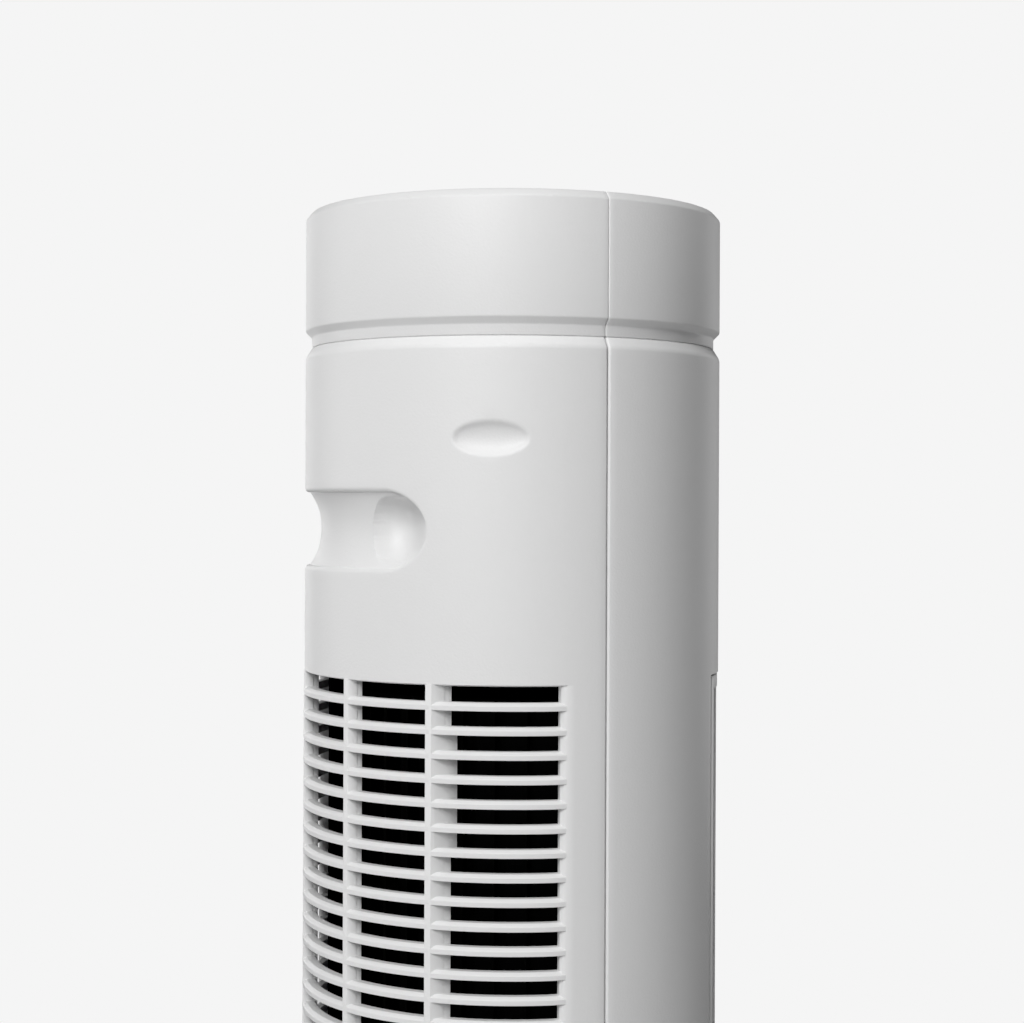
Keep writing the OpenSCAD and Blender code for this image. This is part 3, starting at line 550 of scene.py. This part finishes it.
def rear_shell_skin():
    """The rear half of the column, with its hand recess and its two finger scoops."""
    bm = bmesh.new()
    heights = column_heights((recess_z - recess_half_h, 4 * mm), (recess_z + recess_half_h, 0.95 * mm),
                             (scoop_z - scoop_rows_h, 2 * mm), (scoop_z + scoop_rows_h, 0.55 * mm))
    scoop_half_a = degrees_of(scoop_rim[0]) + 0.4
    stops = sharpened_stops(REAR, (17, 2), (31, 0.32), (43, 0.55), (recess_half_a, 1.2),
                            (scoop_a - scoop_half_a, 1), (scoop_a + scoop_half_a, 0.5),
                            *frame_stops(inlet_half_a))
    turned_skin(bm, heights, stops)
    open_window(bm, REAR, inlet_half_a)
    shape_skin(bm, REAR, inlet_half_a, True)
    sink_recess(bm)
    turn_in(bm)
    bmesh.ops.recalc_face_normals(bm, faces=bm.faces)
    close_skin(bm)
    piece("rear_shell_moulding", bm, "tower", white_abs,
          ("rear_shell", "hand_recess"), smooth=50)


def front_shell_skin():
    """The front half of the column."""
    bm = bmesh.new()
    heights = column_heights()
    turned_skin(bm, heights, sharpened_stops(FRONT, *frame_stops(outlet_half_a)))
    open_window(bm, FRONT, outlet_half_a)
    shape_skin(bm, FRONT, outlet_half_a, False)
    turn_in(bm)
    bmesh.ops.recalc_face_normals(bm, faces=bm.faces)
    close_skin(bm)
    piece("front_shell_moulding", bm, "tower", white_abs, ("front_shell",), smooth=50)


# ---------- intake grille ----------

def slat_outline(z):
    """A slat with a level front and a two-step chamfer above, on its lower edge's height."""
    r = grille_high.y
    front = [(r - back, z + up) for back, up in slat_front]
    return [(r - slat_depth, z)] + front + [(r - slat_depth, z + slat_h)]


def intake_slats():
    """The row of slats, each sinking into the frame at its two ends."""
    bm = bmesh.new()
    rows = round((inlet_high - inlet_low + slat_h) / slat_pitch)
    end = inlet_half_a + degrees_of(slat_overrun)
    turned_solid(bm, slat_outline(inlet_high - slat_pitch), REAR - end, 2 * end, steps=96)
    proud = grille_high.y - body_r
    for v in bm.verts:
        to_end = math.radians(end - abs(angle_from(v.co, REAR))) * body_r
        fade = min(1, max(0, 1 - to_end / slat_fade))
        scale_out(v, 1 - slat_sink * proud * fade / v.co.xy.length)
    bmesh.ops.recalc_face_normals(bm, faces=bm.faces)
    first = bm.verts[:] + bm.edges[:] + bm.faces[:]
    for k in range(1, rows - 1):
        copy = bmesh.ops.duplicate(bm, geom=first)["geom"]
        bmesh.ops.translate(bm, verts=fresh_verts(copy), vec=(0, 0, -k * slat_pitch))
    piece("intake_slats", bm, "tower", white_abs, ("rear_grille",), smooth=12)


def block(bm, x, y, z):
    """A box given by its spans along X, Y and Z."""
    verts = bmesh.ops.create_cube(bm, size=1)["verts"]
    size = Vector((x[1] - x[0], y[1] - y[0], z[1] - z[0]))
    middle = Vector((x[1] + x[0], y[1] + y[0], z[1] + z[0])) / 2
    bmesh.ops.scale(bm, vec=size, verts=verts)
    bmesh.ops.translate(bm, vec=middle, verts=verts)
    return verts


def upright(bm, a, width, depth0, depth1, z):
    """A post between two depths under the grille's face, drawn along the moulding's pull."""
    x = body_r * math.sin(math.radians(a))
    half = width * math.cos(math.radians(a)) / 2
    r0, r1 = grille_high.y - depth0, body_r - depth1
    for v in block(bm, (x - half, x + half), (0, 1), z):
        r = r0 if v.co.y > 0.5 else r1
        v.co.y = math.sqrt(r * r - v.co.x ** 2)


def intake_ribs():
    """The upright ribs behind the slats, the outer ones stiffened near the top."""
    bm = bmesh.new()
    full = (inlet_low - rib_overrun, inlet_high + rib_overrun)
    stiff_high = inlet_high - 2 * slat_pitch + slat_h / 2
    for a in rib_angles:
        upright(bm, a, rib_front_w, 0, rib_front_depth, full)
        upright(bm, a, rib_web_w, web_set_back, rib_depth, full)
        if abs(a) > stiff_beyond_a:
            upright(bm, a, rib_front_w + stiff_extra_w, web_set_back, stiff_depth,
                    (stiff_high - stiff_rows * slat_pitch, stiff_high))
    soften(bm, 0.15 * mm, sharper_than=60, segments=2)
    piece("intake_ribs", bm, "tower", white_abs, (), smooth=40)


def intake_shade_sheet():
    """A dark sheet behind the far side of the grille, painted shade that keeps the inside of the column
    black.
    """
    bm = bmesh.new()
    r = body_r - shade_sheet_depth
    lip = band(r, r + shade_sheet_t, inlet_low - shade_sheet_overrun, inlet_high + shade_sheet_overrun)
    turned_solid(bm, lip, REAR - inlet_half_a, inlet_half_a - shade_sheet_end_a, steps=30)
    bmesh.ops.recalc_face_normals(bm, faces=bm.faces)
    piece("intake_shade_sheet", bm, "tower", duct_black, (), smooth=40)


# ---------- front grille ----------

def outlet_grille():
    """The front grille: a border, cross ties and fins that point away from the axis."""
    bm = bmesh.new()
    r1 = -outlet_low.y
    z0, z1 = outlet_low.z, outlet_high.z
    edge_a = outlet_half_a - degrees_of(outlet_gap)
    inner_a = edge_a - degrees_of(outlet_border)
    side_bar = band(r1 - wall, r1, z0, z1)
    for start in (FRONT - edge_a, FRONT + inner_a):
        turned_solid(bm, side_bar, start, edge_a - inner_a, steps=4)
    cross_start = FRONT - inner_a - cross_bite_a
    cross_sweep = 2 * inner_a + 2 * cross_bite_a
    for shift in (0, z1 - z0 - outlet_border):
        rail = band(r1 - wall, r1, z0 + shift, z0 + outlet_border + shift)
        turned_solid(bm, rail, cross_start, cross_sweep, steps=60)
    gap = (z1 - z0 - 2 * outlet_border) / (outlet_ties + 1)
    for k in range(1, outlet_ties + 1):
        z = z0 + outlet_border + k * gap
        tie = band(r1 - wall - tie_tail, r1 - tie_set_back, z, z + tie_h)
        turned_solid(bm, tie, cross_start, cross_sweep, steps=60)
    spacing = 2 * inner_a / (outlet_fins + 1)
    for k in range(1, outlet_fins + 1):
        fin = block(bm, (-fin_w / 2, fin_w / 2), (-(r1 - fin_set_back), -(r1 - fin_depth)),
                    (z0 + fin_end_gap, z1 - fin_end_gap))
        turn_by = Matrix.Rotation(math.radians(-inner_a + k * spacing), 3, "Z")
        bmesh.ops.rotate(bm, cent=(0, 0, 0), matrix=turn_by, verts=fin)
    bmesh.ops.recalc_face_normals(bm, faces=bm.faces)
    soften(bm, 0.35 * mm, sharper_than=60, segments=2)
    piece("outlet_grille", bm, "tower", white_abs, ("front_grille",), smooth=40)


# ---------- head ----------

def head_outline():
    """The head's wall: its neck, its foot chamfer, its top chamfer and the rim round the panel."""
    z0, z1 = head_low.z, head_high.z
    neck_r = body_r - neck_inset
    foot_z = z0 + neck_h + head_foot_h
    rim_r = body_r - head_top_inset - panel_rim
    return [(neck_r - wall, z0), (neck_r, z0), (neck_r, z0 + neck_h), (body_r, foot_z),
            (body_r, z1 - head_top_h), (body_r - head_top_inset, z1), (rim_r, z1),
            (rim_r, panel_low.z - wall), (body_r - wall, panel_low.z - wall),
            (body_r - wall, foot_z + inside_step), (neck_r - wall, z0 + neck_h + inside_step)]


def head_half(name, middle, node):
    """One half of the head, from seam to seam."""
    bm = bmesh.new()
    gap_a = degrees_of(head_gap)
    turned_solid(bm, head_outline(), middle - 90 + gap_a, 180 - 2 * gap_a, steps=120)
    bmesh.ops.recalc_face_normals(bm, faces=bm.faces)
    soften(bm, head_edge_r, sharper_than=20, segments=3)
    piece(name, bm, "tower", white_abs, (node,), smooth=40)


# ---------- controls ----------

def button_cap(node, middle, low_z, top, flange_r):
    """A round cap with a dished top on a flanged stem."""
    r = flange_r - cap_flange
    flange_z = panel_high.z - flange_depth
    edge = [(r - cap_edge_r * (1 - math.sin(t)), top - cap_edge_r * (1 - math.cos(t)))
            for t in (math.radians(90 - 15 * k) for k in range(7))]
    dish_r = r - cap_edge_r
    shares = [1 - k / dish_lines for k in range(1, dish_lines + 1)]
    dish = [(dish_r * share, top - cap_dish * (1 - share ** 2)) for share in shares]
    stem = [(0, low_z), (stem_r, low_z), (stem_r, flange_z - flange_t)]
    flange = [(flange_r, flange_z - flange_t), (flange_r, flange_z), (r, flange_z)]
    bm = bmesh.new()
    turned_solid(bm, stem + flange + edge + dish, steps=96)
    bmesh.ops.remove_doubles(bm, verts=bm.verts[:], dist=0.001 * mm)
    bmesh.ops.recalc_face_normals(bm, faces=bm.faces)
    bmesh.ops.translate(bm, verts=bm.verts, vec=(middle.x, middle.y, 0))
    piece(node + "_cap", bm, node, button_grey, (node,), smooth=30)


def arc_mark(bm, radius, width, start, sweep, z):
    """A thin flat ring or part of one, for an icon."""
    mark = band(radius - width / 2, radius + width / 2, z, z + icon_t)
    turned_solid(bm, mark, start, sweep, steps=40)


def bar_mark(bm, x, y, width, length, z, turned=0):
    """A thin flat bar for an icon, turned about the middle of the cap."""
    bar = block(bm, (x - width / 2, x + width / 2), (y - length / 2, y + length / 2), (z, z + icon_t))
    bmesh.ops.rotate(bm, cent=(0, 0, 0), matrix=Matrix.Rotation(math.radians(turned), 3, "Z"), verts=bar)


def power_mark(bm, z):
    """A broken ring with a bar in its gap."""
    arc_mark(bm, radius=2.2 * mm, width=0.45 * mm, start=125, sweep=290, z=z)
    bar_mark(bm, x=0, y=1.9 * mm, width=0.45 * mm, length=2 * mm, z=z)


def speed_mark(bm, z):
    """Three bars, each longer than the last."""
    for k in range(3):
        bar_mark(bm, x=(k - 1) * 1.3 * mm, y=(k - 1) * 0.4 * mm, width=0.55 * mm,
                 length=(1.6 + 0.8 * k) * mm, z=z)


def timer_mark(bm, z):
    """A dial with two hands."""
    arc_mark(bm, radius=2.3 * mm, width=0.4 * mm, start=0, sweep=360, z=z)
    bar_mark(bm, x=0, y=0.7 * mm, width=0.4 * mm, length=1.6 * mm, z=z)
    bar_mark(bm, x=0, y=0.5 * mm, width=0.4 * mm, length=1.2 * mm, z=z, turned=-90)


def swing_mark(bm, z):
    """A sweep with a line to each of its ends."""
    arc_mark(bm, radius=2.3 * mm, width=0.4 * mm, start=200, sweep=140, z=z)
    for turned in (-30, 30):
        bar_mark(bm, x=0, y=1.2 * mm, width=0.4 * mm, length=2.4 * mm, z=z, turned=turned)


def mode_mark(bm, z):
    """Three bars crossed in a star."""
    for turned in (0, 60, 120):
        bar_mark(bm, x=0, y=0, width=0.4 * mm, length=4.2 * mm, z=z, turned=turned)


def button(node, draw):
    """A cap and its icon, both riding on the button's own body."""
    low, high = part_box(node)
    middle = (low + high) / 2
    button_cap(node, middle, low.z, high.z, (high.x - low.x) / 2)
    bm = bmesh.new()
    draw(bm, high.z - cap_dish - icon_sink)
    bmesh.ops.recalc_face_normals(bm, faces=bm.faces)
    bmesh.ops.translate(bm, verts=bm.verts, vec=(middle.x, middle.y, 0))
    piece(node + "_icon", bm, node, plate_dark, (), smooth=30)


def display_window():
    """The smoked window over the display, a hair proud of the shell."""
    bm = bmesh.new()
    half_a = math.degrees(math.asin(lens_high.x / body_r))
    pane = band(body_r - window_depth, body_r + window_proud, lens_low.z, lens_high.z)
    turned_solid(bm, pane, FRONT - half_a, 2 * half_a, steps=48)
    bmesh.ops.recalc_face_normals(bm, faces=bm.faces)
    soften(bm, 0.12 * mm, sharper_than=60, segments=2)
    piece("display_window", bm, "tower", lens_smoke, ("display_lens",), smooth=30)


# ---------- base ----------

def base_moulding():
    """The round foot: an upright edge, a domed top and a hole for the spindle."""
    bm = bmesh.new()
    r1 = cover_high.x
    z0, z1 = cover_low.z, cover_high.z
    flat_r = body_r + base_collar
    run = r1 - flat_r
    rise = z1 - base_edge_h - z0
    rim = [(r1 - base_wall_r, z0), (r1 - 1 * mm, z0), (r1 - 0.3 * mm, z0 + 0.3 * mm), (r1, z0 + 1 * mm)]
    dome = [(flat_r + run * math.cos(math.radians(a)),
             z0 + base_edge_h + rise * math.sin(math.radians(a)) ** dome_power) for a in range(0, 91, 3)]
    hole = [(base_hole_r, z1), (base_hole_r, z1 - base_wall_h)]
    under = [(r - base_wall_r, z - base_wall_h) for r, z in reversed(dome)]
    turned_solid(bm, rim + dome + hole + under)
    bmesh.ops.recalc_face_normals(bm, faces=bm.faces)
    piece("base_moulding", bm, "base", base_white, ("base_cover",), smooth=40)


rear_shell_skin()
front_shell_skin()
intake_slats()
intake_ribs()
intake_shade_sheet()
outlet_grille()
head_half("head_rear_moulding", REAR, "head_rear_shell")
head_half("head_front_moulding", FRONT, "head_front_shell")
display_window()
button("power_button", power_mark)
button("speed_button", speed_mark)
button("timer_button", timer_mark)
button("swing_button", swing_mark)
button("mode_button", mode_mark)
base_moulding()


# ---------- studio ----------

floor_r = 2.3
floor_gap = 0.5 * mm


def studio_floor():
    """A plain pale floor, just under the feet."""
    bm = bmesh.new()
    bmesh.ops.create_circle(bm, cap_ends=True, segments=96, radius=floor_r)
    mesh = bpy.data.meshes.new("studio_floor")
    bm.to_mesh(mesh)
    bm.free()
    floor = bpy.data.objects.new("studio_floor", mesh)
    floor.location.z = -floor_gap
    bpy.context.scene.collection.objects.link(floor)
    mesh.materials.append(finish("floor_paper", (0.82, 0.82, 0.82), 0.9, grain=2 * mm))


camera_bearing = -115.2
camera_reach = 0.8203
camera_height = 0.8078
camera_pitch = math.radians(-0.127)
camera_roll = math.radians(0.238)
lens_length = 74.2
aim_height = 0.6


def studio_camera():
    """The camera, level with the head and a little to one side of the back."""
    a = math.radians(camera_bearing)
    toward = Vector((-math.sin(a), math.cos(a), 0))
    data = bpy.data.cameras.new("studio_camera")
    data.lens = lens_length
    data.sensor_width = 36
    data.clip_start = 0.01
    camera = bpy.data.objects.new("studio_camera", data)
    bpy.context.scene.collection.objects.link(camera)
    camera.matrix_world = (Matrix.Translation(-toward * camera_reach + Vector((0, 0, camera_height)))
                           @ Matrix.Rotation(a, 4, "Z")
                           @ Matrix.Rotation(math.radians(90) + camera_pitch, 4, "X")
                           @ Matrix.Rotation(camera_roll, 4, "Z"))
    bpy.context.scene.camera = camera


def softbox(name, turned, height, distance, size, power):
    """An area light round the column, turned from the camera's side, aimed at the column."""
    data = bpy.data.lights.new(name, "AREA")
    data.shape = "RECTANGLE"
    data.size, data.size_y = size
    data.energy = power
    lamp = bpy.data.objects.new(name, data)
    bpy.context.scene.collection.objects.link(lamp)
    a = math.radians(camera_bearing + turned)
    lamp.location = (distance * math.sin(a), -distance * math.cos(a), height)
    aim = Vector((0, 0, aim_height)) - lamp.location
    lamp.rotation_euler = aim.to_track_quat("-Z", "Y").to_euler()


def backdrop(seen, fill, mirrored):
    """A plain pale surround: what is seen, what lights the fan, and what its gloss mirrors."""
    world = bpy.data.worlds.new("backdrop")
    world.use_nodes = True
    bpy.context.scene.world = world
    nodes = world.node_tree.nodes
    links = world.node_tree.links
    output = nodes["World Output"]
    rays = nodes.new("ShaderNodeLightPath")
    shades = {}
    for label, level in (("seen", seen), ("fill", fill), ("mirrored", mirrored)):
        shades[label] = nodes.new("ShaderNodeBackground")
        shades[label].inputs["Color"].default_value = (level, level, level, 1)
    gloss = nodes.new("ShaderNodeMixShader")
    links.new(rays.outputs["Is Glossy Ray"], gloss.inputs["Fac"])
    links.new(shades["fill"].outputs["Background"], gloss.inputs[1])
    links.new(shades["mirrored"].outputs["Background"], gloss.inputs[2])
    view = nodes.new("ShaderNodeMixShader")
    links.new(rays.outputs["Is Camera Ray"], view.inputs["Fac"])
    links.new(gloss.outputs["Shader"], view.inputs[1])
    links.new(shades["seen"].outputs["Background"], view.inputs[2])
    links.new(view.outputs["Shader"], output.inputs["Surface"])


studio_floor()
studio_camera()
softbox("front_soft", -18, 1.8, 1.8, (0.7, 1.0), 32)
softbox("overhead_soft", 0, 3.0, 1.0, (1.2, 1.2), 14.9)
softbox("left_soft", -110, 0.9, 1.8, (0.6, 1.0), 6.2)
softbox("far_left_edge", -150, 0.9, 1.8, (0.6, 1.0), 5.5)
softbox("far_right_edge", 140, 0.9, 1.8, (0.6, 1.0), 5.6)
backdrop(0.913, 0, 0)
bpy.context.scene.view_settings.view_transform = "Standard"
